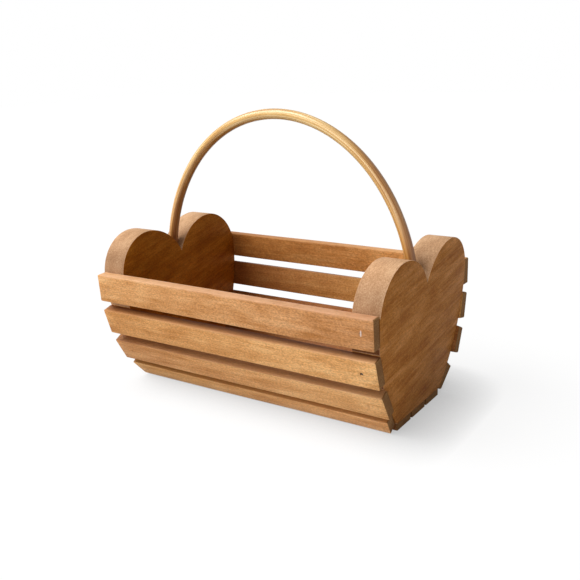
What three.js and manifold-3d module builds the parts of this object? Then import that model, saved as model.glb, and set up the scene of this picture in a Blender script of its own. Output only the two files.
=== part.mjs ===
// Wood slat basket: two leaning heart-shaped end panels, slats nailed round them, and a bent cane handle.
// X runs along the basket, Y across it and Z up. Sizes are in millimetres, and the floor is at Z = 0.
import * as THREE from 'three';
import { mergeVertices } from 'three/addons/utils/BufferGeometryUtils.js';
import Module from 'manifold-3d';

const wasm = await Module();
wasm.setup();

// End panels
const FOOT_LENGTH = 242; // over the outside faces of the two panels, at their bottom edges
const PANEL_LEAN = 3.3; // degrees that each panel leans outwards
const PANEL_THICKNESS = 21.5; // along the basket
const PANEL_HEIGHT = 121.3; // from the flat bottom edge to the top of the lobes
const LOBE_SPACING = 77.4; // between the highest points of the two lobes
const LOBE_RADIUS = 33.6; // outer side of a lobe
const NOTCH_DEPTH = 24.3; // below the top of the lobes
const BOTTOM_WIDTH = 74.4; // flat bottom edge

// Slats
const SLAT_WIDTH = 22.6; // the upper slats of the front
const SLAT_THICKNESS = 8.2;
const SLAT_EDGE_RADIUS = 0.7; // eased long edges
const LEAST_SLAT_GAP = 3; // sets how many slats fit above the lowest one
const TOP_SLAT_RISE = 5.3; // upper edge of the top slat above the widest point of the panel
const LOW_SLAT_WIDTH = 17.3; // the lowest slat of the front
const LOW_SLAT_GAP = 4; // above the lowest slat of the front
const BACK_SLAT_WIDTH = 21.2; // every slat of the back
const BACK_TOP_RISE = 9.1; // upper edge of the top back slat above the widest point of the panel
const BACK_LOW_GAP = 9; // above the lowest slat of the back
const LOW_SLAT_OVERHANG = 1.8; // upper corners of the lowest slats beyond the panels' bottom edges
const LOW_SLAT_SLANT = 2.8; // lower corners of the lowest slats inside the upper ones
const FOOT_CLEARANCE = 0.6; // least height of the lowest side slats above the floor
const BOTTOM_SLAT_WIDTH = 22.8;
const BOTTOM_SLAT_THICKNESS = 5.7;
const BOTTOM_SLAT_INSET = 1; // outer bottom slats inside the ends of the flat edge
const LEAST_BOTTOM_GAP = 1.5; // sets how many bottom slats fit

// Handle
const ROD_DIAMETER = 8;
const HANDLE_RISE = 117; // centre of the rod at mid-span above the bottom of the notch
const HANDLE_SPRING_DEPTH = 14; // ends of the arch below the bottom of the notch
const HANDLE_LEG = 12; // straight end of the rod below the arch

// Finishing nails, one through each slat end
const NAIL_LENGTH = 25;
const NAIL_DIAMETER = 1.4;
const NAIL_HEAD_DIAMETER = 2;
const NAIL_HEAD_HEIGHT = 1;
const NAIL_POINT_LENGTH = 2.2;
const NAIL_SET = 0.6; // head punched below the face of the slat

// Room between pieces that touch
const JOINT_GAP = 0.3;

// Fineness of the round forms
const ARC_SEGMENTS = 10;
const EDGE_SEGMENTS = 2;
const ROD_SIDES = 12;
const ROD_STEPS = 64;
const HOLE_SIDES = 24;
const NAIL_SIDES = 8;

// Heights and half widths that follow from the sizes above
const panelBase = BOTTOM_SLAT_THICKNESS + JOINT_GAP;
const lobeTop = panelBase + PANEL_HEIGHT;
const notchHeight = lobeTop - NOTCH_DEPTH;
const lobeOffset = LOBE_SPACING / 2;
const shoulderHeight = lobeTop - LOBE_RADIUS;
const shoulderHalf = lobeOffset + LOBE_RADIUS;
const bottomHalf = BOTTOM_WIDTH / 2;
const springHeight = notchHeight - HANDLE_SPRING_DEPTH;
const archHeight = HANDLE_RISE + HANDLE_SPRING_DEPTH;

// Outside face of a panel at a height, and the middle of its thickness
const footHalf = FOOT_LENGTH / 2;
const lean = Math.tan(THREE.MathUtils.degToRad(PANEL_LEAN));
const outsideAt = (height) => footHalf + lean * (height - panelBase);
const middleAt = (height) => outsideAt(height) - PANEL_THICKNESS / 2;
const slatHalf = outsideAt(shoulderHeight);
const handleHalf = middleAt(notchHeight);

// Arc of a lobe's inner side, level at the top of the lobe and ending in the notch
const innerRadius = (lobeOffset ** 2 + NOTCH_DEPTH ** 2) / (2 * NOTCH_DEPTH);
const innerHeight = lobeTop - innerRadius;
const notchAngle = Math.acos(lobeOffset / innerRadius);

// Arc of a panel's side, upright at the shoulder and ending at the corner of the bottom edge
const sideDrop = shoulderHeight - panelBase;
const sideInset = shoulderHalf - bottomHalf;
const sideRadius = (sideInset ** 2 + sideDrop ** 2) / (2 * sideInset);
const sideCentre = shoulderHalf - sideRadius;
const sideAngle = Math.atan2(sideDrop, sideRadius - sideInset);

const ALONG = new THREE.Vector3(1, 0, 0);
const ACROSS = new THREE.Vector3(0, 1, 0);
const UP = new THREE.Vector3(0, 0, 1);
const ENDS = { left: -1, right: 1 };
const SIDES = { front: -1, back: 1 };

// Sizes of the slats of each side: the upper ones, the lowest, the rise of the top one, the gap over the lowest
const SIDE_SIZES = {
  front: { width: SLAT_WIDTH, lowWidth: LOW_SLAT_WIDTH, rise: TOP_SLAT_RISE, lowGap: LOW_SLAT_GAP },
  back: { width: BACK_SLAT_WIDTH, lowWidth: BACK_SLAT_WIDTH, rise: BACK_TOP_RISE, lowGap: BACK_LOW_GAP },
};

const material = (color, roughness, metalness) =>
  new THREE.MeshStandardMaterial({ color, roughness, metalness, flatShading: true });
const panelWood = () => material(0x9a6b3f, 0.6, 0);
const slatWood = () => material(0xc89058, 0.6, 0);
const cane = () => material(0xcd9f52, 0.45, 0);
const steel = () => material(0x7d7468, 0.5, 1);

const basket = new THREE.Group();

function addPiece(name, geometry, material, placement = new THREE.Matrix4()) {
  const mesh = new THREE.Mesh(geometry, material);
  mesh.name = name;
  mesh.applyMatrix4(placement);
  basket.add(mesh);
}

// Closed solid for cutting, moved to where it belongs
function solid(geometry, placement = new THREE.Matrix4()) {
  const bare = geometry.clone().applyMatrix4(placement);
  bare.deleteAttribute('normal');
  bare.deleteAttribute('uv');
  const merged = mergeVertices(bare);
  const vertProperties = new Float32Array(merged.attributes.position.array);
  const triVerts = new Uint32Array(merged.index.array);
  return new wasm.Manifold(new wasm.Mesh({ numProp: 3, vertProperties, triVerts }));
}

function geometryOf(body) {
  const mesh = body.getMesh();
  const geometry = new THREE.BufferGeometry();
  geometry.setAttribute('position', new THREE.BufferAttribute(mesh.vertProperties, mesh.numProp));
  geometry.setIndex(new THREE.BufferAttribute(mesh.triVerts, 1));
  geometry.computeVertexNormals();
  return geometry;
}

function cutAll(body, cutters) {
  return cutters.reduce((rest, cutter) => rest.subtract(cutter), body);
}

// Evenly spaced values from first to last, or the middle for a single one
function spread(count, first, last) {
  if (count === 1) return [(first + last) / 2];
  return Array.from({ length: count }, (_, i) => first + ((last - first) * i) / (count - 1));
}

// How many pieces of one width fit in a run with at least the given gap between them
function fitCount(run, width, gap) {
  return Math.max(1, Math.floor((run + gap) / (width + gap)));
}

// Angle that a chord of the side arc spans, and the angle down that arc at a height
const chordAngle = (chord) => 2 * Math.asin(chord / (2 * sideRadius));
const angleAtHeight = (height) => Math.asin((shoulderHeight - height) / sideRadius);

// Frame of a slat: x across its width, y out of the panel, z along the basket
function slatFrame(out, seat) {
  return new THREE.Matrix4().makeBasis(out.clone().cross(ALONG), out, ALONG).setPosition(seat);
}

function sidePlacement(side, angle, width) {
  const out = new THREE.Vector3(0, side * Math.cos(angle), -Math.sin(angle));
  const arcCentre = new THREE.Vector3(0, side * sideCentre, shoulderHeight);
  const reach = sideRadius * Math.cos(chordAngle(width) / 2);
  return slatFrame(out, arcCentre.addScaledVector(out, reach));
}

// Stations of the slats of one side, from the top down
function sideStations({ width, lowWidth, rise, lowGap }) {
  const lowEndHeight = FOOT_CLEARANCE + (SLAT_THICKNESS + JOINT_GAP) * Math.sin(sideAngle);
  const lowSpan = chordAngle(lowWidth);
  const lowAngle = angleAtHeight(Math.max(panelBase, lowEndHeight)) - lowSpan / 2;
  const span = chordAngle(width);
  const start = angleAtHeight(shoulderHeight + rise);
  const end = lowAngle - lowSpan / 2 - chordAngle(lowGap);
  const count = fitCount(end - start, span, chordAngle(LEAST_SLAT_GAP));
  const upper = spread(count, start + span / 2, end - span / 2);
  return [...upper.map((angle) => ({ angle, width })), { angle: lowAngle, width: lowWidth, low: true }];
}

// Half length of a lowest slat, from -0.5 at its upper edge to 0.5 at its lower one
function lowSlatReach(down) {
  return footHalf + LOW_SLAT_OVERHANG - LOW_SLAT_SLANT * (0.5 + down);
}

function sideSlats() {
  return Object.entries(SIDES).flatMap(([sideName, side]) =>
    sideStations(SIDE_SIZES[sideName]).map(({ angle, width, low }, i) => ({
      name: `${sideName}_slat_${i + 1}`,
      width,
      thickness: SLAT_THICKNESS,
      reach: low ? (across) => lowSlatReach((side * across) / width) : () => slatHalf,
      placement: sidePlacement(side, angle, width),
    })),
  );
}

function bottomSlats() {
  const reach = bottomHalf - BOTTOM_SLAT_INSET;
  const count = fitCount(2 * reach, BOTTOM_SLAT_WIDTH, LEAST_BOTTOM_GAP);
  const last = reach - BOTTOM_SLAT_WIDTH / 2;
  const down = UP.clone().negate();
  return spread(count, -last, last).map((y, i) => ({
    name: `bottom_slat_${i + 1}`,
    width: BOTTOM_SLAT_WIDTH,
    thickness: BOTTOM_SLAT_THICKNESS,
    reach: () => footHalf,
    placement: slatFrame(down, new THREE.Vector3(0, y, panelBase)),
  }));
}

// Slat section with eased corners, lying on the panel's flat with the joint gap between
function slatSection({ width, thickness }) {
  const r = SLAT_EDGE_RADIUS;
  const half = width / 2;
  const top = JOINT_GAP + thickness;
  const shape = new THREE.Shape();
  shape.absarc(half - r, JOINT_GAP + r, r, -Math.PI / 2, 0);
  shape.absarc(half - r, top - r, r, 0, Math.PI / 2);
  shape.absarc(r - half, top - r, r, Math.PI / 2, Math.PI);
  shape.absarc(r - half, JOINT_GAP + r, r, Math.PI, 1.5 * Math.PI);
  return shape;
}

// Slat along its z axis, each end moved out to where the slat reaches at that place across it
function slatBar(slat) {
  const options = { depth: 2, bevelEnabled: false, curveSegments: EDGE_SEGMENTS };
  const bar = new THREE.ExtrudeGeometry(slatSection(slat), options).translate(0, 0, -1);
  const points = bar.attributes.position;
  for (let i = 0; i < points.count; i += 1) {
    points.setZ(i, points.getZ(i) * slat.reach(points.getX(i)));
  }
  return bar;
}

// Where a nail's point lies in the frame of its slat: over the middle of the panel
function nailPlace(slat, end) {
  const headTop = JOINT_GAP + slat.thickness - NAIL_SET;
  const seat = new THREE.Vector3().setFromMatrixPosition(slat.placement);
  return new THREE.Matrix4().makeTranslation(0, headTop - NAIL_LENGTH, end * middleAt(seat.z));
}

function nailPlacement(slat, end) {
  return slat.placement.clone().multiply(nailPlace(slat, end));
}

function nailGeometry() {
  const headBase = NAIL_LENGTH - NAIL_HEAD_HEIGHT;
  const profile = [
    new THREE.Vector2(0, 0),
    new THREE.Vector2(NAIL_DIAMETER / 2, NAIL_POINT_LENGTH),
    new THREE.Vector2(NAIL_DIAMETER / 2, headBase),
    new THREE.Vector2(NAIL_HEAD_DIAMETER / 2, headBase),
    new THREE.Vector2(NAIL_HEAD_DIAMETER / 2, NAIL_LENGTH),
    new THREE.Vector2(0, NAIL_LENGTH),
  ];
  return new THREE.LatheGeometry(profile, NAIL_SIDES);
}

// Hole round a nail, with the sunk head's recess open to the face of the slat
function nailHole(placement) {
  const shank = NAIL_DIAMETER / 2 + JOINT_GAP;
  const recess = NAIL_HEAD_DIAMETER / 2 + JOINT_GAP;
  const recessDepth = NAIL_HEAD_HEIGHT + NAIL_SET + JOINT_GAP;
  const length = NAIL_LENGTH + NAIL_SET + JOINT_GAP;
  const bore = new THREE.CylinderGeometry(shank, shank, length, NAIL_SIDES);
  bore.translate(0, length / 2 - JOINT_GAP, 0);
  const head = new THREE.CylinderGeometry(recess, recess, 2 * recessDepth, NAIL_SIDES);
  head.translate(0, NAIL_LENGTH + NAIL_SET, 0);
  return solid(bore, placement).add(solid(head, placement));
}

// Heart outline of an end panel, anticlockwise from the right corner of its bottom edge
function panelOutline() {
  const quarter = Math.PI / 2;
  const shape = new THREE.Shape();
  shape.moveTo(bottomHalf, panelBase);
  shape.absarc(sideCentre, shoulderHeight, sideRadius, -sideAngle, 0);
  shape.absarc(lobeOffset, shoulderHeight, LOBE_RADIUS, 0, quarter);
  shape.absarc(lobeOffset, innerHeight, innerRadius, quarter, Math.PI - notchAngle);
  shape.absarc(-lobeOffset, innerHeight, innerRadius, notchAngle, quarter);
  shape.absarc(-lobeOffset, shoulderHeight, LOBE_RADIUS, quarter, Math.PI);
  shape.absarc(-sideCentre, shoulderHeight, sideRadius, Math.PI, Math.PI + sideAngle);
  shape.closePath();
  return shape;
}

// Middle line of the handle: up from one hole, over half an ellipse, and down into the other
class HandleLine extends THREE.Curve {
  constructor(leg) {
    super();
    this.leg = leg;
  }

  getPoint(t, target = new THREE.Vector3()) {
    const arch = (Math.PI / 2) * (handleHalf + archHeight);
    const along = t * (arch + 2 * this.leg) - this.leg;
    if (along < 0) return target.set(-handleHalf, 0, springHeight + along);
    if (along > arch) return target.set(handleHalf, 0, springHeight + arch - along);
    const turn = (Math.PI * along) / arch;
    return target.set(-handleHalf * Math.cos(turn), 0, springHeight + archHeight * Math.sin(turn));
  }
}

function rodGeometry(diameter, leg, sides) {
  const section = new THREE.Shape().absarc(0, 0, diameter / 2, 0, 2 * Math.PI);
  return new THREE.ExtrudeGeometry(section, {
    extrudePath: new HandleLine(leg),
    steps: ROD_STEPS,
    curveSegments: sides / 2,
    bevelEnabled: false,
  });
}

// Room for the handle's ends, blind below and open upwards through the sides of the notch
function handleHole() {
  return solid(rodGeometry(ROD_DIAMETER + 2 * JOINT_GAP, HANDLE_LEG + JOINT_GAP, HOLE_SIDES));
}

// Flat planed on the panel's edge where a side slat lies
function slatSeat(slat) {
  const block = new THREE.BoxGeometry(slat.width, SLAT_THICKNESS, 2 * (slatHalf + PANEL_THICKNESS));
  return solid(block.translate(0, SLAT_THICKNESS / 2, 0), slat.placement);
}

function panelGeometry(end, sides, bottoms) {
  const options = { depth: PANEL_THICKNESS, bevelEnabled: false, curveSegments: ARC_SEGMENTS };
  const board = new THREE.ExtrudeGeometry(panelOutline(), options);
  const upright = new THREE.Matrix4().makeBasis(ACROSS, UP, ALONG);
  upright.setPosition(end * middleAt(panelBase) - PANEL_THICKNESS / 2, 0, 0);
  const leaning = new THREE.Matrix4().makeShear(0, 0, 0, 0, end * lean, 0);
  leaning.setPosition(-end * lean * panelBase, 0, 0);
  const seats = sides.map(slatSeat);
  const holes = [...sides, ...bottoms].map((slat) => nailHole(nailPlacement(slat, end)));
  return geometryOf(cutAll(solid(board, leaning.multiply(upright)), [...seats, ...holes, handleHole()]));
}

function slatGeometry(slat) {
  const holes = Object.values(ENDS).map((end) => nailHole(nailPlace(slat, end)));
  return geometryOf(cutAll(solid(slatBar(slat)), holes));
}

const sides = sideSlats();
const bottoms = bottomSlats();
for (const [endName, end] of Object.entries(ENDS)) {
  addPiece(`end_panel_${endName}`, panelGeometry(end, sides, bottoms), panelWood());
}
for (const slat of [...sides, ...bottoms]) {
  addPiece(slat.name, slatGeometry(slat), slatWood(), slat.placement);
  for (const [endName, end] of Object.entries(ENDS)) {
    addPiece(`nail_${slat.name}_${endName}`, nailGeometry(), steel(), nailPlacement(slat, end));
  }
}
addPiece('handle_rod', rodGeometry(ROD_DIAMETER, HANDLE_LEG, ROD_SIDES), cane());

export default basket;
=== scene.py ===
"""Wood slat basket: the finish of every piece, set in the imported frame.

X runs along the basket, Y across it and Z up. Pieces are shaped in millimetres and scaled when done.
"""
import math
import random

import bmesh
import bpy
from mathutils import Matrix, Vector


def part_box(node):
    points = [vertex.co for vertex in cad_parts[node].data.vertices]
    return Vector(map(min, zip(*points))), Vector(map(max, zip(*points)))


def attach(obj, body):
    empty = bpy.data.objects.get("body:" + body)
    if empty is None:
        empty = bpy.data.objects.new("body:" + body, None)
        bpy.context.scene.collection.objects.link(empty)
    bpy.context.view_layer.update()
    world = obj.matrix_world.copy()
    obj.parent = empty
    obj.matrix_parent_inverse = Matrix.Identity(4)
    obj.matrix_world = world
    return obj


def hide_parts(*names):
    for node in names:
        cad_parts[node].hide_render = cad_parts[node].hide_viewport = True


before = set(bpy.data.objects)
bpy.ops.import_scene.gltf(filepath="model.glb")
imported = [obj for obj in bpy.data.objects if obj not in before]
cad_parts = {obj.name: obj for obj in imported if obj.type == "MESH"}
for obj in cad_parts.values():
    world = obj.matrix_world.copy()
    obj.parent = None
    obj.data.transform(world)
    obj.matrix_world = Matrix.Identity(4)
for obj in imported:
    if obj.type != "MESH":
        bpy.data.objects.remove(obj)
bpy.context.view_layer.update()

MM = 0.001  # metres in a millimetre
QUARTER = math.pi / 2
ALONG = Vector((1, 0, 0))
ACROSS = Vector((0, 1, 0))
UP = Vector((0, 0, 1))
ENDS = {"left": -1, "right": 1}
SIDES = {"front": -1, "back": 1}
SAME_POINT = 0.01  # points closer than this are one
MOSTLY = 0.5  # share of a face's normal above which the face looks that way
SHARP_DEGREES = 40  # faces that meet at more than this keep a crisp edge


def box_mm(node):
    """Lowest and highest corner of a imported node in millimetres."""
    return [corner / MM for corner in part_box(node)]


# Heart of the end panels
LOBE_SPACING = 77.4
LOBE_RADIUS = 33.6
NOTCH_DEPTH = 24.3
BOTTOM_WIDTH = 74.4
PANEL_ARRIS = 0.5  # sandpapered edge of the heart
ARRIS_SEGMENTS = 2
LOBE_STEPS = 36
SIDE_STEPS = 30
GRAIN_TURN = {"left": 13, "right": 8}  # degrees that the grain of a panel is off level
PANEL_SEED = 101

# Slats
SLAT_WIDTH = 22.6
SLAT_THICKNESS = 8.2
LOW_SLAT_WIDTH = 17.3  # lowest of the front
BACK_SLAT_WIDTH = 21.2
LOW_SLAT_SLANT = 2.8  # how far each end of a lowest slat draws in at its lower edge
SLAT_EDGE_RADIUS = 0.7
SLAT_EDGE_SEGMENTS = 4
SLAT_END_RADIUS = 0.5
SLAT_END_SEGMENTS = 2
SLAT_CORNER_RADIUS = 2.2  # corners of a slat's end, worn round
SLAT_BOW = 0.18  # how far a slat wanders from straight
BOW_WAVES = (0.6, 1.6)  # fewest and most waves of that along a slat
SLAT_CUTS = 28
SIDE_ROWS = 4
BOTTOM_ROWS = 3
SLAT_SEED = 11

# Handle
HANDLE_LEG = 12  # straight end of the rod below the arch
HANDLE_SIDES = 24
ARCH_STEPS = 120
LEG_STEPS = 6

# Nails, punched below the face and filled
NAIL_LENGTH = 25
NAIL_SET = 0.6
SHANK_HOLE_RADIUS = 1
RECESS_RADIUS = 1.3
RECESS_DEPTH = 1.9
HOLE_MOUTH = 1  # how far the cutter of a hole stands out of the wood
HOLE_STEPS = 24
PUTTY_SINK = 0.05
PUTTY_RADIUS = 1.27
LOST_PUTTY = {("front_slat_1", "right"): "half", ("front_slat_2", "right"): "all"}
BREAK_PLACE = (0.1, 0, 0)  # where the lost half broke off
BREAK_FACING = (1, 0.2, 0)  # which way the break looks
SMEAR_HALF_SIZE = (0.6, 2.3, 0.06)  # along its slat, across it and out of it
SMEAR_OFFSET = (0.9, 0.6, 0.0)  # from the nail
JOINT_GAP = 0.3

# What the frame gives
panel_low, panel_high = box_mm("end_panel_right")
base_height = panel_low.z
lobe_top = panel_high.z
foot_half = box_mm("bottom_slat_1")[1].x
panel_thickness = foot_half - panel_low.x
lean = (panel_high.x - foot_half) / (lobe_top - base_height)
rod_low, rod_high = box_mm("handle_rod")
rod_radius = rod_high.y
handle_half = rod_high.x - rod_radius
spring_height = rod_low.z + HANDLE_LEG
arch_height = rod_high.z - rod_radius - spring_height

# Centres and radii of the heart's arcs
lobe_offset = LOBE_SPACING / 2
shoulder_height = lobe_top - LOBE_RADIUS
shoulder_half = lobe_offset + LOBE_RADIUS
inner_radius = (lobe_offset**2 + NOTCH_DEPTH**2) / (2 * NOTCH_DEPTH)
notch_angle = math.acos(lobe_offset / inner_radius)
side_drop = shoulder_height - base_height
side_inset = shoulder_half - BOTTOM_WIDTH / 2
side_radius = (side_inset**2 + side_drop**2) / (2 * side_inset)
side_centre = shoulder_half - side_radius
side_angle = math.atan2(side_drop, side_radius - side_inset)


# Materials

# Sockets of a Mix node, by number because several share a name, and its settings to multiply colours
SHARE = 0
NUMBER_A, NUMBER_B = 2, 3
COLOUR_A, COLOUR_B = 6, 7
MIXED_COLOUR = 2
MULTIPLIED = {"data_type": "RGBA", "blend_type": "MULTIPLY"}

# Patterns in millimetres, as their length along the grain and their width across it
MOTTLE_SIZE = (28, 10)
PORE_SIZE = (1.9, 1.0)  # finer in the wood, and drawn as coarse as it needs to show
WORN_SIZE = (9, 5)
FUZZ_SIZE = (1.1, 1.1)  # cut fibres, drawn coarser for the same reason
CLOUD_SIZE = (18, 12)
FIBRE_SIZE = (70, 0.9)
BAND_SIZE = (40, 5)
PUTTY_SIZE = (2.5, 0.8)
TARNISH_SIZE = 0.8

# Patterns that are measured in widths of a streak or of a saw line
FIGURE_WIDTHS = (34, 3.4)
STREAK_WIDTHS = (22, 0.7)
SAW_LINE_WIDTHS = (14, 1)

# How much the second of two patterns counts when they are mixed
STREAK_SHARE = 0.4
MOTTLE_SHARE = 0.4
FUZZ_SHARE = 0.5
CLOUD_SHARE = 0.3
BAND_SHARE = 0.3

# Where the colours of a material lie in its noise, and the range that noise mostly fills
PLANED_STOPS = (0.37, 0.5, 0.63)
SAWN_STOPS = (0.32, 0.5, 0.68)
CANE_STOPS = (0.33, 0.46, 0.6)
CLOUD_STOPS = (0.35, 0.65)
NOISE_RANGE = {"From Min": 0.3, "From Max": 0.7}

# Worn upper arris of a planed board: where it lies in half widths of the board, and how far it is worn
WEAR_RAGGED = 0.3
WEAR_RANGE = {"From Min": 0.98, "From Max": 1.16, "To Min": 0, "To Max": 0.7}

SHEEN_SPREAD = 0.08  # how far the roughness of planed wood strays with its streaks
CANE_ROUGHNESS = {"To Min": 0.5, "To Max": 0.36}
CANE_COLOURS = ("#a87434", "#ca9c4e", "#ecce96")
STEEL_COLOURS = ("#3b3129", "#7c7468")


def linear(hex_colour):
    """Linear RGBA of an sRGB hex colour."""
    parts = [int(hex_colour[i : i + 2], 16) / 255 for i in (1, 3, 5)]
    return [p / 12.92 if p <= 0.04045 else ((p + 0.055) / 1.055) ** 2.4 for p in parts] + [1]


def add(tree, kind, inputs=(), stops=(), **settings):
    """Add a shader node with its settings, values or links for its inputs, and the stops of a ramp."""
    node = tree.nodes.new("ShaderNode" + kind)
    for name, value in settings.items():
        setattr(node, name, value)
    for key, value in dict(inputs).items():
        if isinstance(value, bpy.types.Node):
            value = value.outputs[0]
        if isinstance(value, bpy.types.NodeSocket):
            tree.links.new(value, node.inputs[key])
        else:
            node.inputs[key].default_value = value
    for number, (place, colour) in enumerate(stops):
        elements = node.color_ramp.elements
        element = elements[number] if number < len(elements) else elements.new(1)
        element.position = place
        element.color = linear(colour)
    return node


def new_material(name):
    """An empty node material and its tree."""
    material = bpy.data.materials.new(name)
    material.use_nodes = True
    material.node_tree.nodes.clear()
    return material, material.node_tree


def grain_noise(tree, size_mm, detail=2, roughness=0.5):
    """Noise drawn out along the grain, with streaks of that length and width."""
    along, across = size_mm
    place = add(tree, "Attribute", attribute_name="grain").outputs["Vector"]
    per_mm = (1 / along, 1 / across, 1 / across)
    stretched = add(tree, "VectorMath", {0: place, 1: per_mm}, operation="MULTIPLY")
    inputs = {"Vector": stretched, "Scale": 1, "Detail": detail, "Roughness": roughness}
    return add(tree, "TexNoise", inputs)


def tint(tree, colour, name):
    """A colour multiplied by the piece's tone or painted shade at that place."""
    value = add(tree, "Attribute", attribute_name=name).outputs["Color"]
    inputs = {SHARE: 1, COLOUR_A: colour, COLOUR_B: value}
    return add(tree, "Mix", inputs, **MULTIPLIED).outputs[MIXED_COLOUR]


def finish_surface(tree, colour, height, roughness, bump_mm, bump, **sockets):
    """Principled surface with a bumped normal. Sockets are named with _ for each space."""
    normal = add(tree, "Bump", {"Height": height, "Strength": bump, "Distance": bump_mm * MM})
    inputs = {"Base Color": colour, "Roughness": roughness, "Normal": normal}
    inputs.update({name.replace("_", " "): value for name, value in sockets.items()})
    surface = add(tree, "BsdfPrincipled", inputs)
    add(tree, "OutputMaterial", {"Surface": surface})


def planed_wood(name, colours, worn, streak_mm, stipple, roughness, gloss):
    """Planed and oiled hardwood: soft streaks and mottle, a stipple of cut pores, a paler worn arris."""
    material, tree = new_material(name)
    figure = grain_noise(tree, [width * streak_mm for width in FIGURE_WIDTHS], detail=3, roughness=0.55)
    streaks = grain_noise(tree, [width * streak_mm for width in STREAK_WIDTHS], detail=3, roughness=0.6)
    pores = grain_noise(tree, PORE_SIZE, roughness=0.7)
    mottle = grain_noise(tree, MOTTLE_SIZE, detail=3, roughness=0.65)
    both = add(tree, "Mix", {SHARE: STREAK_SHARE, NUMBER_A: figure, NUMBER_B: streaks})
    mixed = add(tree, "Mix", {SHARE: MOTTLE_SHARE, NUMBER_A: both, NUMBER_B: mottle})
    wood = add(tree, "ValToRGB", {"Fac": mixed}, zip(PLANED_STOPS, colours))
    limits = {"To Min": 1 + stipple, "To Max": 1 - stipple}
    dots = add(tree, "MapRange", {"Value": pores, **NOISE_RANGE, **limits})
    inputs = {SHARE: 1, COLOUR_A: wood, COLOUR_B: dots}
    dotted = add(tree, "Mix", inputs, **MULTIPLIED).outputs[MIXED_COLOUR]
    place = add(tree, "Attribute", attribute_name="place").outputs["Vector"]
    across = add(tree, "SeparateXYZ", {"Vector": place}).outputs["Y"]
    ragged = grain_noise(tree, WORN_SIZE, detail=3, roughness=0.6)
    border = add(tree, "Math", {0: ragged, 1: WEAR_RAGGED, 2: across}, operation="MULTIPLY_ADD")
    wear = add(tree, "MapRange", {"Value": border, **WEAR_RANGE})
    inputs = {SHARE: wear, COLOUR_A: dotted, COLOUR_B: linear(worn)}
    rubbed = add(tree, "Mix", inputs, data_type="RGBA").outputs[MIXED_COLOUR]
    # tone, which is painted shade on the back and bottom slats, then painted shade on the upper edges
    toned_and_shaded = tint(tree, tint(tree, rubbed, "tone_and_shade"), "painted_shade")
    limits = {"To Min": roughness + SHEEN_SPREAD, "To Max": roughness - SHEEN_SPREAD}
    sheen = add(tree, "MapRange", {"Value": streaks, **NOISE_RANGE, **limits})
    finish_surface(tree, toned_and_shaded, pores, sheen, bump_mm=0.1, bump=0.3, Specular_IOR_Level=gloss)
    return material


def sawn_wood(name, colours, line_mm):
    """Bandsawn and sanded wood: fibres cut across, so paler and duller, with fine saw lines."""
    material, tree = new_material(name)
    lines = grain_noise(tree, [width * line_mm for width in SAW_LINE_WIDTHS], roughness=0.6)
    fuzz = grain_noise(tree, FUZZ_SIZE)
    cloud = grain_noise(tree, CLOUD_SIZE)
    both = add(tree, "Mix", {SHARE: FUZZ_SHARE, NUMBER_A: lines, NUMBER_B: fuzz})
    mixed = add(tree, "Mix", {SHARE: CLOUD_SHARE, NUMBER_A: both, NUMBER_B: cloud})
    wood = add(tree, "ValToRGB", {"Fac": mixed}, zip(SAWN_STOPS, colours))
    # painted shade: panel edges between the slats and on the lobes, and slat ends at their upper edges
    with_painted_shade = tint(tree, wood, "painted_shade")
    finish_surface(tree, with_painted_shade, both, roughness=0.75, bump_mm=0.12, bump=0.4, Specular_IOR_Level=0.15)
    return material


def bent_cane(name):
    """Peeled and varnished cane: golden, with long fibre streaks under a soft gloss."""
    material, tree = new_material(name)
    fibres = grain_noise(tree, FIBRE_SIZE, roughness=0.6)
    bands = grain_noise(tree, BAND_SIZE)
    both = add(tree, "Mix", {SHARE: BAND_SHARE, NUMBER_A: fibres, NUMBER_B: bands})
    cane = add(tree, "ValToRGB", {"Fac": both}, zip(CANE_STOPS, CANE_COLOURS))
    sheen = add(tree, "MapRange", {"Value": fibres, **NOISE_RANGE, **CANE_ROUGHNESS})
    # painted shade: the legs and the side turned from the lamp are darker
    cane_with_painted_shade = tint(tree, cane, "painted_shade")
    varnish = {"Coat_Weight": 0.45, "Coat_Roughness": 0.32}
    finish_surface(tree, cane_with_painted_shade, fibres, sheen, bump_mm=0.12, bump=0.3, **varnish)
    return material


def drawn_steel(name):
    """Drawn steel wire gone dull in the wood: dark grey with brownish tarnish."""
    material, tree = new_material(name)
    place = add(tree, "TexCoord").outputs["Object"]
    tarnish = add(tree, "TexNoise", {"Vector": place, "Scale": 1 / (TARNISH_SIZE * MM), "Detail": 3})
    steel = add(tree, "ValToRGB", {"Fac": tarnish}, zip(CLOUD_STOPS, STEEL_COLOURS))
    finish_surface(tree, steel, tarnish, roughness=0.5, bump_mm=0.05, bump=0.3, Metallic=1.0)
    return material


def filler_putty(name, colours):
    """Wood filler rubbed over the nails: matt and nearly even."""
    material, tree = new_material(name)
    cloud = grain_noise(tree, PUTTY_SIZE)
    putty = add(tree, "ValToRGB", {"Fac": cloud}, zip(CLOUD_STOPS, colours))
    finish_surface(tree, tint(tree, putty, "tone_and_shade"), cloud, roughness=0.8, bump_mm=0.06, bump=0.3)
    return material


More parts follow.
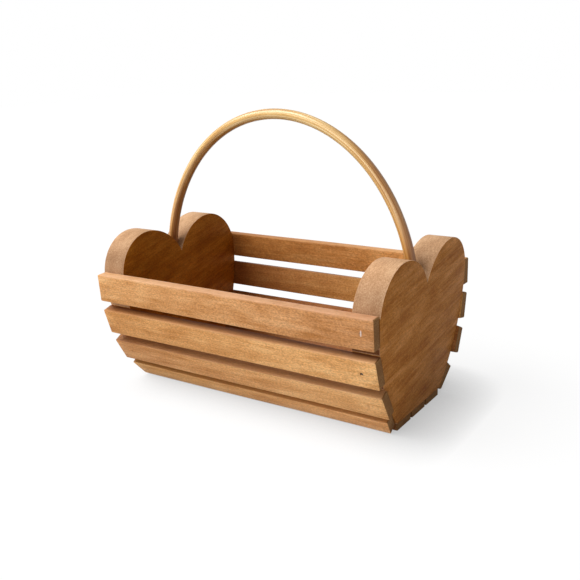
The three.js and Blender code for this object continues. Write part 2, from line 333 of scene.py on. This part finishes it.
SLAT_WOOD = ("#c28849", "#dba567", "#edbd80")
SLAT_FINISH = {"streak_mm": 1.6, "stipple": 0.3, "roughness": 0.55, "gloss": 0.15}
PANEL_WOOD = ("#955722", "#b07235", "#c98a4e")
PANEL_FINISH = {"streak_mm": 2.4, "stipple": 0.25, "roughness": 0.6, "gloss": 0.05}
SLAT_FACE = planed_wood("hardwood_slat_planed_oiled", SLAT_WOOD, "#d8a87a", **SLAT_FINISH)
RAIL_FACE = planed_wood("hardwood_rail_planed_oiled_rubbed", SLAT_WOOD, "#fccc9c", **SLAT_FINISH)
PANEL_FACE = planed_wood("hardwood_panel_planed_oiled", PANEL_WOOD, "#c98e54", **PANEL_FINISH)
PANEL_EDGE = sawn_wood("hardwood_panel_bandsawn_sanded", ("#a47954", "#c59a73", "#e1ba93"), line_mm=0.8)
SLAT_END = sawn_wood("hardwood_slat_end_grain_sawn", ("#704a26", "#885f35", "#a07a4c"), line_mm=0.7)
CANE = bent_cane("cane_peeled_bent_varnished")
STEEL = drawn_steel("steel_wire_drawn_tarnished")
PUTTY = filler_putty("wood_filler_rubbed_in", ("#bf8850", "#d8a368"))
PALE_PUTTY = filler_putty("wood_filler_dried_pale", ("#f0dcc0", "#fff4e0"))

# Places of the materials on a board: planed faces first, then what the saw left
PLANED = 0
SAWN = 1

# Tone of each board: a slat's at the left and right end of the basket, a panel's outside and inside. On
# the back and bottom slats the tone is painted shade: back slats 1 and 2 are darker at the left end,
# where the left panel shadows them, and the lower back slats and the bottom slats are darker for the
# shade deep in the basket. The left panel's inside, deeper and yellower than its outside, is painted
# shade and warm light bounced inside the basket.
CLEAN = "#ffffff"
TONES_AND_PAINTED_SHADE = {
    "front_slat_1": ("#e8e2e4", "#d0c3c6"),
    "front_slat_2": ("#decfbf", "#f6f6fa"),
    "front_slat_3": ("#d9cac1", "#f2f1f5"),
    "front_slat_4": ("#dfdac9", "#f3ecef"),
    "back_slat_1": ("#aa8a5d", "#ede0d1"),
    "back_slat_2": ("#916330", "#e7e1ce"),
    "back_slat_3": ("#a28161", "#b5987b"),
    "back_slat_4": ("#a6896c", "#ad9173"),
    "bottom_slat_1": ("#b0977e", "#b0977e"),
    "bottom_slat_2": ("#a98f77", "#a98f77"),
    "bottom_slat_3": ("#b0977e", "#b0977e"),
    "end_panel_left": ("#eee6da", "#f4e494"),
    "end_panel_right": (CLEAN, CLEAN),
}
TONE_DEPTH = 14  # from a panel's outer face to where its inner tone is reached
WOOD_LENGTH = 900  # of the timber that each board's grain is taken from at random

# Painted shade on the slats' upper edges, where the slat above shadows them, at the inside and outside
# of the basket
UPPER_EDGE_SHADE = {
    "front_slat_2": ("#8a6a52", "#f0eae4"),
    "front_slat_3": ("#cdc3b8", "#cdc3b8"),
    "front_slat_4": ("#cdbc9c", "#cdbc9c"),
    "back_slat_3": ("#cdc3b8", "#cdc3b8"),
    "back_slat_4": ("#cdbc9c", "#cdbc9c"),
}
TOP_PLACE = 0.96  # share of the half width above which a point lies on the upper edge
RAILS = ("front_slat_1", "back_slat_1")  # top slats, rubbed by hands

# Painted shade on the panels' edges: dark between the slats, where the slats shadow them, a lighter
# painted shade on the lobes' sides, and clean on their tops, where the light falls from above
PANEL_EDGE_SHADE = {"end_panel_left": "#ece4dc", "end_panel_right": "#90745c"}
LOBE_SIDE_SHADE = "#cec9c5"
LOBE_SHADE_RISE = 16  # height above the shoulders where that starts to fade
LOBE_SHADE_FADE = 15.6  # height over which it fades

# Painted shade of the cane
HANDLE_LEG_SHADE = "#e4bf92"  # painted shade near the panels: the legs darker than the arch's top, which is lit from above
HANDLE_SHADED_SIDE = "#c8b4a0"  # painted shade on the side turned from the lamp
# where the lamp light comes to the cane from; the other side gets the painted shade
HANDLE_LIT_SIDE = Vector((-0.94, 0, 0.34))
SIDE_SHADE_FADE = 0.5  # how far a face looks away from that side where it is at its darkest


# Pieces


def build_object(bm, name, materials=()):
    """Turn a finished bmesh in millimetres into an object in metres."""
    bmesh.ops.scale(bm, vec=(MM, MM, MM), verts=bm.verts)
    mesh = bpy.data.meshes.new(name)
    bm.to_mesh(mesh)
    bm.free()
    for material in materials:
        mesh.materials.append(material)
    piece = bpy.data.objects.new(name, mesh)
    bpy.context.scene.collection.objects.link(piece)
    return piece


def cut_away(piece, bm):
    """Subtract a bmesh from a piece for good."""
    cutter = build_object(bm, "cutter")
    modifier = piece.modifiers.new("cut", "BOOLEAN")
    modifier.operation = "DIFFERENCE"
    modifier.solver = "EXACT"
    modifier.object = cutter
    modifier.material_mode = "TRANSFER"
    cut = bpy.data.meshes.new_from_object(piece.evaluated_get(bpy.context.evaluated_depsgraph_get()))
    piece.modifiers.clear()
    old = piece.data
    piece.data = cut
    cut.name = piece.name
    bpy.data.meshes.remove(old)
    bpy.data.objects.remove(cutter)


def append(bm, other):
    """Move everything of another bmesh into this one."""
    mesh = bpy.data.meshes.new("part")
    other.to_mesh(mesh)
    other.free()
    bm.from_mesh(mesh)
    bpy.data.meshes.remove(mesh)


def round_edges(bm, edges, radius, segments):
    """Round edges over with a bevel."""
    bmesh.ops.bevel(
        bm, geom=edges, offset=radius, affect="EDGES", segments=segments, profile=0.5, material=-1
    )


def looks_along(face):
    """Whether a face looks along the basket."""
    return abs(face.normal.x) > MOSTLY


def seams(bm):
    """Edges between planed and sawn faces."""
    return [e for e in bm.edges if {f.material_index for f in e.link_faces} == {PLANED, SAWN}]


def shade(piece):
    """Smooth shading with crisp edges."""
    piece.data.shade_smooth()
    piece.data.set_sharp_from_angle(angle=math.radians(SHARP_DEGREES))


def write_attribute(mesh, name, kind, field, values):
    """Store one value for each vertex under a name that materials read."""
    if name in mesh.attributes:
        mesh.attributes.remove(mesh.attributes[name])
    attribute = mesh.attributes.new(name, kind, "POINT")
    attribute.data.foreach_set(field, [number for value in values for number in value])


def between(first, second, share):
    """Colour a share of the way from one hex colour to another."""
    return Vector(linear(first)).lerp(Vector(linear(second)), min(max(share, 0), 1))


def no_painted_shade(vertex, place):
    """Painted shade of a piece that has none: plain white."""
    return linear(CLEAN)


def mark_wood(piece, to_frame, half_size, seed, tone_and_shade, painted_shade=no_painted_shade, span=(-foot_half, foot_half)):
    """Give a piece its grain in millimetres, place from -1 to 1, tone over a span of X, and painted
    shade.
    """
    shift = Vector(random.Random(seed).uniform(0, WOOD_LENGTH) for _ in range(3))
    vertices = piece.data.vertices
    points = [to_frame @ (vertex.co / MM) for vertex in vertices]
    write_attribute(piece.data, "grain", "FLOAT_VECTOR", "vector", [point + shift for point in points])
    places = [[a / b for a, b in zip(point, half_size)] for point in points]
    write_attribute(piece.data, "place", "FLOAT_VECTOR", "vector", places)
    start, stop = span
    tone_and_shade_values = [between(*tone_and_shade, (vertex.co.x / MM - start) / (stop - start)) for vertex in vertices]
    write_attribute(piece.data, "tone_and_shade", "FLOAT_COLOR", "color", tone_and_shade_values)
    painted_shades = [painted_shade(vertex, place) for vertex, place in zip(vertices, places)]
    write_attribute(piece.data, "painted_shade", "FLOAT_COLOR", "color", painted_shades)


def fasten(piece, slot, *nodes):
    """Parent a piece to the root and hide the imported nodes that it replaces."""
    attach(piece, "root")
    if nodes:
        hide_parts(*nodes)


def frame_matrix(along, across, out, origin):
    """Matrix from a piece's own axes to the basket's."""
    axes = Matrix((along, across, out)).transposed().to_4x4()
    return Matrix.Translation(origin) @ axes


# Slats


def slat_matrix(node, side):
    """Axes of a slat at its middle: along it, up its width, and out of the basket."""
    low, high = box_mm(node)
    centre = (low + high) / 2
    if side == 0:
        return frame_matrix(ALONG, -ACROSS, -UP, centre)
    out = Vector((0, centre.y - side * side_centre, centre.z - shoulder_height)).normalized()
    along = -side * ALONG
    return frame_matrix(along, out.cross(along), out, centre)


def nail_place(slat, end_name):
    """Axes of a nail at the face of its slat, with its head outwards."""
    low, high = box_mm(f"nail_{slat['name']}_{end_name}")
    mouth = slat["matrix"] @ Vector((0, 0, slat["thickness"] / 2))
    mouth.x = (low.x + high.x) / 2
    return Matrix.Translation(mouth) @ slat["matrix"].to_3x3().to_4x4()


def list_slats():
    """Every slat with its name, axes and sizes."""
    slats = []
    for side_name, side in SIDES.items():
        for row in range(1, SIDE_ROWS + 1):
            low_one = row == SIDE_ROWS
            front_width = LOW_SLAT_WIDTH if low_one else SLAT_WIDTH
            slats.append(
                {
                    "name": f"{side_name}_slat_{row}",
                    "side": side,
                    "width": front_width if side < 0 else BACK_SLAT_WIDTH,
                    "thickness": SLAT_THICKNESS,
                    "slant": LOW_SLAT_SLANT if low_one else 0,
                }
            )
    for row in range(1, BOTTOM_ROWS + 1):
        low, high = box_mm(f"bottom_slat_{row}")
        slats.append(
            {
                "name": f"bottom_slat_{row}",
                "side": 0,
                "width": high.y - low.y,
                "thickness": high.z - low.z,
                "slant": 0,
            }
        )
    for slat in slats:
        slat["matrix"] = slat_matrix(slat["name"], slat["side"])
        slat["half_length"] = box_mm(slat["name"])[1].x
        slat["half_size"] = (slat["half_length"], slat["width"] / 2, slat["thickness"] / 2)
        slat["nails"] = {end_name: nail_place(slat, end_name) for end_name in ENDS}
    return slats


def slat_bar(half_length, width, thickness, slant):
    """Slat round the origin: eased long edges, rubbed ends, and cuts along it for its wander."""
    bm = bmesh.new()
    bmesh.ops.create_cube(bm, size=1)
    bmesh.ops.scale(bm, vec=(2 * half_length, width, thickness), verts=bm.verts)
    for vertex in bm.verts:
        if vertex.co.y < 0:
            vertex.co.x -= math.copysign(slant, vertex.co.x)
    long_edges = [e for e in bm.edges if e.verts[0].co.x * e.verts[1].co.x < 0]
    round_edges(bm, long_edges, SLAT_EDGE_RADIUS, SLAT_EDGE_SEGMENTS)
    bm.normal_update()
    for face in bm.faces:
        face.material_index = SAWN if looks_along(face) else PLANED
    round_edges(bm, seams(bm), SLAT_END_RADIUS, SLAT_END_SEGMENTS)
    wear_corners(bm, width)
    step = 2 * half_length / SLAT_CUTS
    for i in range(1, SLAT_CUTS):
        place = (i * step - half_length, 0, 0)
        everything = bm.verts[:] + bm.edges[:] + bm.faces[:]
        bmesh.ops.bisect_plane(bm, geom=everything, plane_co=place, plane_no=ALONG)
    return bm


def wear_corners(bm, width):
    """Draw in the ends of a slat near its long edges."""
    r = SLAT_CORNER_RADIUS
    for vertex in bm.verts:
        depth = min(r, max(0, abs(vertex.co.y) - width / 2 + r))
        vertex.co.x -= math.copysign(r - math.sqrt(r**2 - depth**2), vertex.co.x)


def wander(bm, half_length, seed):
    """Let a slat bow a little, down across its width and in through its thickness."""
    dice = random.Random(seed)
    waves = [dice.uniform(*BOW_WAVES) for _ in range(2)]
    starts = [dice.uniform(0, math.tau) for _ in range(2)]
    for vertex in bm.verts:
        reach = math.pi * vertex.co.x / half_length
        vertex.co.y -= SLAT_BOW / 2 * (1 + math.sin(waves[0] * reach + starts[0]))
        vertex.co.z -= SLAT_BOW / 2 * (1 + math.sin(waves[1] * reach + starts[1]))


def nail_cutters(places):
    """Stepped holes for nails, one bmesh for all: shank below, recess for the head above."""
    profile = [
        (0, 0, -NAIL_LENGTH),
        (SHANK_HOLE_RADIUS, 0, -NAIL_LENGTH),
        (SHANK_HOLE_RADIUS, 0, -RECESS_DEPTH),
        (RECESS_RADIUS, 0, -RECESS_DEPTH),
        (RECESS_RADIUS, 0, HOLE_MOUTH),
        (0, 0, HOLE_MOUTH),
    ]
    turn = {"cent": (0, 0, 0), "axis": UP, "angle": math.tau, "steps": HOLE_STEPS, "use_merge": True}
    bm = bmesh.new()
    for place in places:
        turned = bmesh.new()
        points = [turned.verts.new(p) for p in profile]
        edges = [turned.edges.new(pair) for pair in zip(points, points[1:])]
        bmesh.ops.spin(turned, geom=points + edges, **turn)
        bmesh.ops.remove_doubles(turned, verts=turned.verts, dist=SAME_POINT)
        bmesh.ops.recalc_face_normals(turned, faces=turned.faces)
        bmesh.ops.transform(turned, matrix=place, verts=turned.verts)
        append(bm, turned)
    return bm


def make_slat(slat, seed):
    """One slat with its nail holes."""
    name = slat["name"]
    bm = slat_bar(slat["half_length"], slat["width"], slat["thickness"], slat["slant"])
    if slat["side"]:
        wander(bm, slat["half_length"], seed)
    bmesh.ops.transform(bm, matrix=slat["matrix"], verts=bm.verts)
    face = RAIL_FACE if name in RAILS else SLAT_FACE
    piece = build_object(bm, name + "_strip", [face, SLAT_END])
    cut_away(piece, nail_cutters(slat["nails"].values()))
    upper_edge_shade = UPPER_EDGE_SHADE.get(name, (CLEAN, CLEAN))

    def painted_edge_shade(vertex, place):
        """Painted shade on the slat's upper edge, where the slat above shadows it."""
        _, up, out = place
        return between(*upper_edge_shade, (1 + out) / 2) if up > TOP_PLACE else linear(CLEAN)

    mark_wood(piece, slat["matrix"].inverted(), slat["half_size"], seed, TONES_AND_PAINTED_SHADE[name], painted_edge_shade)
    shade(piece)
    fasten(piece, "slat_wood", name)


# End panels


def heart_board():
    """Heart of an end panel as a slab standing on its flat edge, square to the floor."""
    bm = bmesh.new()
    tip = bm.verts.new((0, BOTTOM_WIDTH / 2, base_height))
    arcs = [
        (side_centre, shoulder_height, side_angle, SIDE_STEPS),
        (lobe_offset, shoulder_height, QUARTER, LOBE_STEPS),
        (lobe_offset, lobe_top - inner_radius, QUARTER - notch_angle, LOBE_STEPS),
    ]
    for y, z, angle, steps in arcs:
        spun = bmesh.ops.spin(bm, geom=[tip], cent=(0, y, z), axis=ALONG, angle=angle, steps=steps)
        tip = next(v for v in spun["geom_last"] if isinstance(v, bmesh.types.BMVert))
    tip.co.y = 0
    bmesh.ops.mirror(bm, geom=bm.verts[:] + bm.edges[:], axis="Y", merge_dist=SAME_POINT)
    bmesh.ops.remove_doubles(bm, verts=bm.verts, dist=SAME_POINT)
    corners = [v for v in bm.verts if abs(v.co.z - base_height) < SAME_POINT]
    bm.edges.new(corners)
    heart = bmesh.ops.contextual_create(bm, geom=bm.edges[:])["faces"]
    bmesh.ops.extrude_face_region(bm, geom=heart, use_keep_orig=True)
    for vertex in heart[0].verts:
        vertex.co.x += panel_thickness
    bmesh.ops.recalc_face_normals(bm, faces=bm.faces)
    bm.normal_update()
    for face in bm.faces:
        face.material_index = PLANED if looks_along(face) else SAWN
    round_edges(bm, seams(bm), PANEL_ARRIS, ARRIS_SEGMENTS)
    return bm


def panel_matrix(end):
    """Stand a board at its end of the basket and lean it outwards."""
    shear = Matrix.Identity(4)
    shear[0][2] = lean
    shear[0][3] = foot_half - panel_thickness - lean * base_height
    return Matrix.Diagonal((end, 1, 1, 1)) @ shear


def seat_cutters(slats):
    """Blocks that plane a flat on the board where each side slat lies."""
    bm = bmesh.new()
    past_both_ends = 4 * foot_half
    for slat in slats:
        block = bmesh.ops.create_cube(bm, size=1)["verts"]
        size = (past_both_ends, slat["width"], slat["thickness"] + 2 * JOINT_GAP)
        bmesh.ops.scale(bm, vec=size, verts=block)
        bmesh.ops.transform(bm, matrix=slat["matrix"], verts=block)
    return bm


def points_of(piece, slot):
    """Numbers of the points in a piece's faces of one material."""
    return {i for face in piece.data.polygons if face.material_index == slot for i in face.vertices}


def make_panel(end_name, end, slats, seed):
    """One heart board with its seats, nail holes and the hole for the handle."""
    name = "end_panel_" + end_name
    bm = heart_board()
    bmesh.ops.transform(bm, matrix=panel_matrix(end), verts=bm.verts)
    bmesh.ops.recalc_face_normals(bm, faces=bm.faces)
    piece = build_object(bm, name + "_board", [PANEL_FACE, PANEL_EDGE])
    cut_away(piece, seat_cutters([slat for slat in slats if slat["side"]]))
    cut_away(piece, nail_cutters([slat["nails"][end_name] for slat in slats]))
    cut_away(piece, swept_rod(rod_radius + JOINT_GAP, HANDLE_LEG + JOINT_GAP))
    middle = Vector((end * foot_half, 0, (base_height + lobe_top) / 2))
    grain_turn = math.radians(GRAIN_TURN[end_name])
    turn = Matrix.Rotation(grain_turn, 4, "X") @ Matrix.Rotation(QUARTER, 4, "Z")
    to_frame = (Matrix.Translation(middle) @ turn).inverted()
    unworn = (3 * shoulder_half,) * 3  # so large that no point of a panel lies near a worn arris
    tone_span = (end * foot_half, end * (foot_half - TONE_DEPTH))
    edge_only = points_of(piece, SAWN) - points_of(piece, PLANED)

    def painted_edge_shade(vertex, place):
        """Painted shade on the heart's edge by its height."""
        rise = vertex.co.z / MM - shoulder_height
        if vertex.index not in edge_only:
            return linear(CLEAN)
        if rise < 0:
            return linear(PANEL_EDGE_SHADE[name])
        return between(LOBE_SIDE_SHADE, CLEAN, (rise - LOBE_SHADE_RISE) / LOBE_SHADE_FADE)

    mark_wood(piece, to_frame, unworn, seed, TONES_AND_PAINTED_SHADE[name], painted_edge_shade, tone_span)
    shade(piece)
    fasten(piece, "panel_wood", name)


# Handle


def arch_point(turn):
    """Middle of the rod and its direction at an angle round the half ellipse, from the left end."""
    place = Vector((-handle_half * math.cos(turn), 0, spring_height + arch_height * math.sin(turn)))
    heading = Vector((handle_half * math.sin(turn), 0, arch_height * math.cos(turn))).normalized()
    return place, heading


def rod_stations(leg):
    """Places and directions along the rod: up one leg, over the arch, down the other leg."""
    drops = [leg * (1 - i / LEG_STEPS) for i in range(LEG_STEPS)]
    first = [(arch_point(0)[0] - UP * drop, UP) for drop in drops]
    arch = [arch_point(math.pi * i / ARCH_STEPS) for i in range(ARCH_STEPS + 1)]
    last = [(arch_point(math.pi)[0] - UP * drop, -UP) for drop in reversed(drops)]
    return first + arch + last


def swept_rod(radius, leg):
    """Round rod swept along its stations, with the grain coordinates of the cane."""
    bm = bmesh.new()
    grain = bm.verts.layers.float_vector.new("grain")
    stations = rod_stations(leg)
    section = bmesh.ops.create_circle(bm, cap_ends=True, segments=HANDLE_SIDES, radius=radius)["verts"]
    ring = bm.edges[:]
    axes = Matrix.Identity(4)
    travelled = 0
    for number, (place, heading) in enumerate(stations):
        if number > 0:
            made = bmesh.ops.extrude_edge_only(bm, edges=ring)["geom"]
            section = [g for g in made if isinstance(g, bmesh.types.BMVert)]
            ring = [g for g in made if isinstance(g, bmesh.types.BMEdge)]
            travelled += (place - stations[number - 1][0]).length
        last_axes = axes
        axes = frame_matrix(ACROSS, heading.cross(ACROSS), heading, place)
        bmesh.ops.transform(bm, matrix=axes @ last_axes.inverted(), verts=section)
        for vertex in section:
            local = axes.inverted() @ vertex.co
            vertex[grain] = (travelled, local.x, local.y)
    bmesh.ops.contextual_create(bm, geom=ring)
    bmesh.ops.recalc_face_normals(bm, faces=bm.faces)
    return bm


def make_handle():
    """The bent cane handle, with painted shade: darker towards the legs near the panels and on the side
    turned from the lamp.
    """
    piece = build_object(swept_rod(rod_radius, HANDLE_LEG), "handle_cane", [CANE])
    painted_shades = []
    for vertex in piece.data.vertices:
        leg_shade = between(HANDLE_LEG_SHADE, CLEAN, (vertex.co.z / MM - spring_height) / arch_height)
        facing = vertex.normal.dot(HANDLE_LIT_SIDE)
        side_shade = between(HANDLE_SHADED_SIDE, CLEAN, 1 + facing / SIDE_SHADE_FADE)
        painted_shades.append([a * b for a, b in zip(leg_shade, side_shade)])
    write_attribute(piece.data, "painted_shade", "FLOAT_COLOR", "color", painted_shades)
    shade(piece)
    fasten(piece, "cane", "handle_rod")


# Nails and the filler over their heads


def putty_plug(place, broken):
    """Filler in one nail hole, a little below the face: whole, or with half of it fallen out."""
    bm = bmesh.new()
    depth = NAIL_SET - PUTTY_SINK
    bmesh.ops.create_cone(
        bm, cap_ends=True, segments=HOLE_STEPS, radius1=PUTTY_RADIUS, radius2=PUTTY_RADIUS, depth=depth
    )
    bmesh.ops.translate(bm, vec=(0, 0, -PUTTY_SINK - depth / 2), verts=bm.verts)
    if broken:
        everything = bm.verts[:] + bm.edges[:] + bm.faces[:]
        cut = {"plane_co": BREAK_PLACE, "plane_no": BREAK_FACING, "clear_outer": True}
        bmesh.ops.bisect_plane(bm, geom=everything, **cut)
        bmesh.ops.holes_fill(bm, edges=bm.edges, sides=0)
    bmesh.ops.recalc_face_normals(bm, faces=bm.faces)
    bmesh.ops.transform(bm, matrix=place, verts=bm.verts)
    return bm


def putty_smear(place):
    """Filler left standing beside a nail hole, drawn out across the slat, in the second material."""
    bm = bmesh.new()
    bmesh.ops.create_uvsphere(bm, u_segments=HOLE_STEPS, v_segments=HOLE_STEPS // 2, radius=1)
    bmesh.ops.scale(bm, vec=SMEAR_HALF_SIZE, verts=bm.verts)
    bmesh.ops.transform(bm, matrix=place @ Matrix.Translation(SMEAR_OFFSET), verts=bm.verts)
    for face in bm.faces:
        face.material_index = 1
    return bm


def make_putty(slats):
    """Filler over every nail, apart from one that lost it all, and a smear by the one that lost half."""
    for slat in slats:
        name = slat["name"]
        bm = bmesh.new()
        for end_name, place in slat["nails"].items():
            lost = LOST_PUTTY.get((name, end_name))
            if lost != "all":
                append(bm, putty_plug(place, broken=lost == "half"))
            if lost == "half":
                append(bm, putty_smear(place))
        piece = build_object(bm, name + "_filler", [PUTTY, PALE_PUTTY])
        mark_wood(piece, slat["matrix"].inverted(), slat["half_size"], name, TONES_AND_PAINTED_SHADE[name])
        shade(piece)
        fasten(piece, "slat_wood")


def finish_nails():
    """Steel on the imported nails, which stay as they are."""
    for name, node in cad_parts.items():
        if name.startswith("nail_"):
            node.data.materials.clear()
            node.data.materials.append(STEEL)


# Studio

# Camera, with its angles in degrees and its eye in millimetres
VIEW_AZIMUTH = 34.3
VIEW_ELEVATION = 16.64
VIEW_ROLL = 2.33
VIEW_EYE = Vector((351.5, -504.7, 263.9))
FOCAL_PIXELS = 793.1
IMAGE_PIXELS = 580
SENSOR_MM = 36

# Lamps: where each comes from, what a white face square to it would show, and its spread in degrees
LAMPS = {
    "key_left": (Vector((-0.54, -0.37, 0.76)), 1.12, 45),
    "fill_front": (Vector((-0.1, -0.98, 0.12)), 0.42, 50),
}
ROOM_LEVEL = 0.22
WHITE = "#ffffff"

FLOOR_SIZE = 8000
FLOOR_DROP = 0.05
FLOOR_BOUNCE = "#d8d8d8"  # floor as it lights the undersides
FLOOR_GLOW = 0.88  # share of plain white in what the camera sees, which lightens the long shadow
CONTACT_LEAN = (-0.7, -0.6, 0.4)  # the shade at the basket's foot falls to the other side
CONTACT_REACH_MM = 48  # how far from the foot that white is still shaded
CONTACT_SHARE = 0.75  # how much of that shade is kept


def set_camera():
    """Camera at the photograph's view."""
    azimuth, elevation, roll = (math.radians(a) for a in (VIEW_AZIMUTH, VIEW_ELEVATION, VIEW_ROLL))
    level_part = math.cos(elevation)
    back = Vector((math.sin(azimuth) * level_part, -math.cos(azimuth) * level_part, math.sin(elevation)))
    level = UP.cross(back).normalized()
    right = Matrix.Rotation(-roll, 3, back) @ level
    lens = bpy.data.cameras.new("photo_view")
    lens.sensor_width = SENSOR_MM
    lens.lens = FOCAL_PIXELS * SENSOR_MM / IMAGE_PIXELS
    camera = bpy.data.objects.new("photo_view", lens)
    camera.matrix_world = frame_matrix(right, back.cross(right), back, VIEW_EYE * MM)
    bpy.context.scene.collection.objects.link(camera)
    bpy.context.scene.camera = camera


def shown(tree):
    """Whether the camera sees a place, straight, in a gloss or through glass."""
    path = add(tree, "LightPath").outputs
    inputs = {0: path["Is Camera Ray"], 1: path["Is Glossy Ray"]}
    seen = add(tree, "Math", inputs, operation="MAXIMUM")
    return add(tree, "Math", {0: seen, 1: path["Is Transmission Ray"]}, operation="MAXIMUM")


def set_lights():
    """Soft lamps at the upper left and low in front, in a dim room that the camera sees as white."""
    for name, (place, level, spread) in LAMPS.items():
        sun = bpy.data.lights.new(name, "SUN")
        sun.energy = level * math.pi
        sun.angle = math.radians(spread)
        lamp = bpy.data.objects.new(name, sun)
        lamp.rotation_euler = place.to_track_quat("Z", "Y").to_euler()
        bpy.context.scene.collection.objects.link(lamp)
    world = bpy.data.worlds.new("studio")
    world.use_nodes = True
    tree = world.node_tree
    tree.nodes.clear()
    room = add(tree, "Background", {"Color": linear(WHITE), "Strength": ROOM_LEVEL})
    white = add(tree, "Background", {"Color": linear(WHITE), "Strength": 1})
    both = add(tree, "MixShader", {0: shown(tree), 1: room, 2: white})
    add(tree, "OutputWorld", {"Surface": both})
    bpy.context.scene.world = world


def lay_floor():
    """Plain pale floor that keeps a soft shadow, shaded where the basket's foot stands on it."""
    material, tree = new_material("studio_floor_matt_white")
    to_camera = shown(tree)
    share = add(tree, "Math", {0: to_camera, 1: FLOOR_GLOW}, operation="MULTIPLY")
    inputs = {SHARE: to_camera, COLOUR_A: linear(FLOOR_BOUNCE), COLOUR_B: linear(WHITE)}
    colour = add(tree, "Mix", inputs, data_type="RGBA").outputs[MIXED_COLOUR]
    paint = add(tree, "BsdfDiffuse", {"Color": colour})
    lit_from = add(tree, "VectorMath", {0: CONTACT_LEAN}, operation="NORMALIZE")
    inputs = {"Color": linear(WHITE), "Distance": CONTACT_REACH_MM * MM, "Normal": lit_from}
    contact = add(tree, "AmbientOcclusion", inputs)
    inputs = {SHARE: CONTACT_SHARE, COLOUR_A: linear(WHITE), COLOUR_B: contact}
    shaded = add(tree, "Mix", inputs, data_type="RGBA").outputs[MIXED_COLOUR]
    white = add(tree, "Emission", {"Color": shaded, "Strength": 1})
    both = add(tree, "MixShader", {0: share, 1: paint, 2: white})
    add(tree, "OutputMaterial", {"Surface": both})
    bm = bmesh.new()
    bmesh.ops.create_grid(bm, x_segments=1, y_segments=1, size=FLOOR_SIZE / 2)
    bmesh.ops.translate(bm, vec=(0, 0, -FLOOR_DROP), verts=bm.verts)
    floor = build_object(bm, "floor", [material])


slats = list_slats()
for number, slat in enumerate(slats):
    make_slat(slat, SLAT_SEED + number)
for number, (end_name, end) in enumerate(ENDS.items()):
    make_panel(end_name, end, slats, PANEL_SEED + number)
make_handle()
make_putty(slats)
finish_nails()
set_camera()
set_lights()
lay_floor()

bpy.context.scene.view_settings.view_transform = "Standard"
